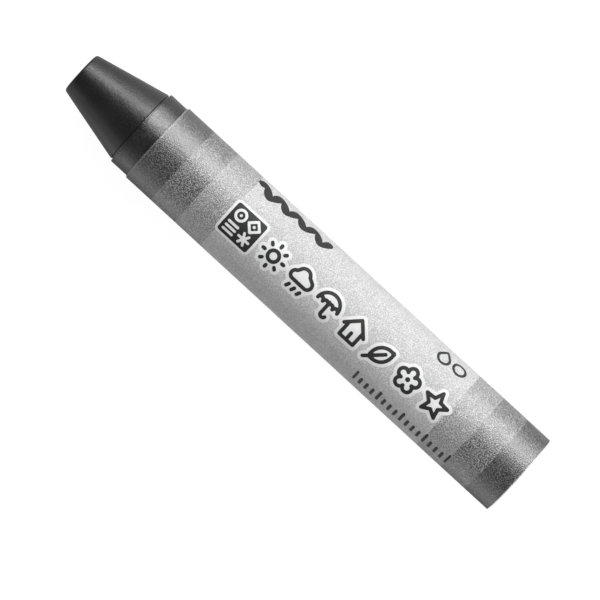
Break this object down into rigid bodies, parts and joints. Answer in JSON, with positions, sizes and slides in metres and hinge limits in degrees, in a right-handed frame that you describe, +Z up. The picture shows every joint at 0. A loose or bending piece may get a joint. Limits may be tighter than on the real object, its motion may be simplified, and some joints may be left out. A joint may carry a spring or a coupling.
{
  "type": "crayon",
  "caption": "Thick black wax crayon with a blunt tapered nose, held in a rolled paper sleeve printed with grey bands and plain drawing motifs; the stick slides in the sleeve.",
  "frame": {"origin": "On the table plane, straight under the crayon's axis at the middle of its whole length, where the lying sleeve touches the table.", "axes": "+X runs along the crayon's axis towards the drawing tip, +Z is up from the table the crayon lies on, and +Y completes a right-handed frame. The sleeve's lap is at the bottom, on the -Y side."},
  "size_m": [0.0766, 0.012, 0.012],
  "materials": {
    "wax": "satin",
    "printed_paper": "satin",
    "paste": "matte",
    "ink_dark": "satin",
    "ink_pale": "satin"
  },
  "bodies": {
    "sleeve": {"paper_sleeve": "printed_paper", "paste_film": "paste"},
    "stick": {"wax_stick": "wax"}
  },
  "joints": [
    {"name": "stick_slide", "type": "slide", "parent": "sleeve", "child": "stick", "axis": [1, 0, 0], "range_m": [-0.0135, 0.045]}
  ]
}
